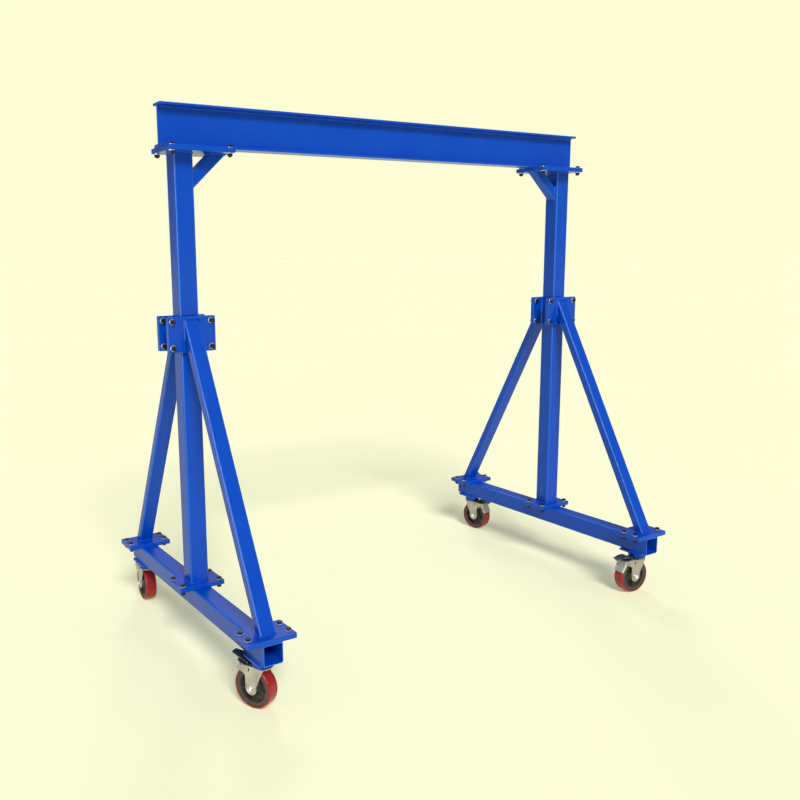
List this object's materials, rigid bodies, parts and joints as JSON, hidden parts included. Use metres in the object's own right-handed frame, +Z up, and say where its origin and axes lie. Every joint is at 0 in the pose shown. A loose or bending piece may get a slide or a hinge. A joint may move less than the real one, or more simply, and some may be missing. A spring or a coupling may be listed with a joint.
{
  "type": "portable gantry crane",
  "caption": "Portable gantry crane: steel I-beam on two braced masts with A-shaped side frames, rolling on braked swivel casters.",
  "frame": {"origin": "on the floor under the middle of the parked crane's bounding box; the beam's centre plane is at y = -0.032 m", "axes": "+X along the beam, +Y along the side frames from front to back, +Z up"},
  "size_m": [2.82, 1.7545, 2.76],
  "materials": {
    "blue_paint": "gloss",
    "dark_fastener": "black oxide, satin",
    "zinc_plate": "bright zinc",
    "bearing_steel": "polished",
    "fork_zinc": "dull zinc",
    "shoe_zinc": "dull zinc",
    "pedal_steel": "semi-gloss",
    "cast_iron": "cast",
    "red_polyurethane": "satin"
  },
  "bodies": {
    "frame": {"main_beam": "blue_paint", "beam_plate_left": "blue_paint", "mast_top_plate_left": "blue_paint", "mast_left": "blue_paint", "mast_foot_plate_left": "blue_paint", "knee_brace_left": "blue_paint", "base_tube_left": "blue_paint", "strut_front_left": "blue_paint", "strut_back_left": "blue_paint", "beam_plate_right": "blue_paint", "mast_top_plate_right": "blue_paint", "mast_right": "blue_paint", "mast_foot_plate_right": "blue_paint", "knee_brace_right": "blue_paint", "base_tube_right": "blue_paint", "strut_front_right": "blue_paint", "strut_back_right": "blue_paint", "mast_collar_plates": "blue_paint", "strut_collar_plates": "blue_paint", "strut_foot_plates": "blue_paint", "base_top_plates": "blue_paint", "caster_top_plates": "blue_paint", "race_cups": "blue_paint", "frame_bolts": "dark_fastener", "frame_nuts": "dark_fastener", "frame_washers": "zinc_plate", "kingpins": "zinc_plate", "swivel_balls": "bearing_steel"},
    "swivel_front_left": {"fork_front_left": "fork_zinc", "axle_front_left": "zinc_plate", "brake_pin_front_left": "zinc_plate"},
    "wheel_front_left": {"wheel_core_front_left": "cast_iron", "wheel_tread_front_left": "red_polyurethane", "wheel_bearings_front_left": "bearing_steel"},
    "brake_front_left": {"brake_shoe_front_left": "shoe_zinc", "brake_pedal_front_left": "pedal_steel"},
    "swivel_back_left": {"fork_back_left": "fork_zinc", "axle_back_left": "zinc_plate", "brake_pin_back_left": "zinc_plate"},
    "wheel_back_left": {"wheel_core_back_left": "cast_iron", "wheel_tread_back_left": "red_polyurethane", "wheel_bearings_back_left": "bearing_steel"},
    "brake_back_left": {"brake_shoe_back_left": "shoe_zinc", "brake_pedal_back_left": "pedal_steel"},
    "swivel_back_right": {"fork_back_right": "fork_zinc", "axle_back_right": "zinc_plate", "brake_pin_back_right": "zinc_plate"},
    "wheel_back_right": {"wheel_core_back_right": "cast_iron", "wheel_tread_back_right": "red_polyurethane", "wheel_bearings_back_right": "bearing_steel"},
    "brake_back_right": {"brake_shoe_back_right": "shoe_zinc", "brake_pedal_back_right": "pedal_steel"},
    "swivel_front_right": {"fork_front_right": "fork_zinc", "axle_front_right": "zinc_plate", "brake_pin_front_right": "zinc_plate"},
    "wheel_front_right": {"wheel_core_front_right": "cast_iron", "wheel_tread_front_right": "red_polyurethane", "wheel_bearings_front_right": "bearing_steel"},
    "brake_front_right": {"brake_shoe_front_right": "shoe_zinc", "brake_pedal_front_right": "pedal_steel"}
  },
  "joints": [
    {"name": "swivel_front_left", "type": "hinge", "parent": "frame", "child": "swivel_front_left", "pos_m": [-1.285, -0.774, 0.218], "axis": [0, 0, 1], "continuous": true},
    {"name": "roll_front_left", "type": "hinge", "parent": "swivel_front_left", "child": "wheel_front_left", "pos_m": [-1.30341, -0.73625, 0.1], "axis": [-0.8988, -0.4384, 0], "continuous": true},
    {"name": "brake_front_left", "type": "hinge", "parent": "swivel_front_left", "child": "brake_front_left", "pos_m": [-1.32321, -0.69566, 0.197], "axis": [-0.8988, -0.4384, 0], "range_deg": [0, 15]},
    {"name": "swivel_back_left", "type": "hinge", "parent": "frame", "child": "swivel_back_left", "pos_m": [-1.285, 0.71, 0.218], "axis": [0, 0, 1], "continuous": true},
    {"name": "roll_back_left", "type": "hinge", "parent": "swivel_back_left", "child": "wheel_back_left", "pos_m": [-1.28207, 0.7519, 0.1], "axis": [-0.9976, 0.0698, 0], "continuous": true},
    {"name": "brake_back_left", "type": "hinge", "parent": "swivel_back_left", "child": "brake_back_left", "pos_m": [-1.27892, 0.79695, 0.197], "axis": [-0.9976, 0.0698, 0], "range_deg": [0, 15]},
    {"name": "swivel_back_right", "type": "hinge", "parent": "frame", "child": "swivel_back_right", "pos_m": [1.285, 0.71, 0.218], "axis": [0, 0, 1], "continuous": true},
    {"name": "roll_back_right", "type": "hinge", "parent": "swivel_back_right", "child": "wheel_back_right", "pos_m": [1.29373, 0.66892, 0.1], "axis": [0.9781, 0.2079, 0], "continuous": true},
    {"name": "brake_back_right", "type": "hinge", "parent": "swivel_back_right", "child": "brake_back_right", "pos_m": [1.30312, 0.62474, 0.197], "axis": [0.9781, 0.2079, 0], "range_deg": [-15, 0]},
    {"name": "swivel_front_right", "type": "hinge", "parent": "frame", "child": "swivel_front_right", "pos_m": [1.285, -0.774, 0.218], "axis": [0, 0, 1], "continuous": true},
    {"name": "roll_front_right", "type": "hinge", "parent": "swivel_front_right", "child": "wheel_front_right", "pos_m": [1.24331, -0.76888, 0.1], "axis": [-0.1219, -0.9925, 0], "continuous": true},
    {"name": "brake_front_right", "type": "hinge", "parent": "swivel_front_right", "child": "brake_front_right", "pos_m": [1.19848, -0.76338, 0.197], "axis": [-0.1219, -0.9925, 0], "range_deg": [-15, 0]}
  ]
}
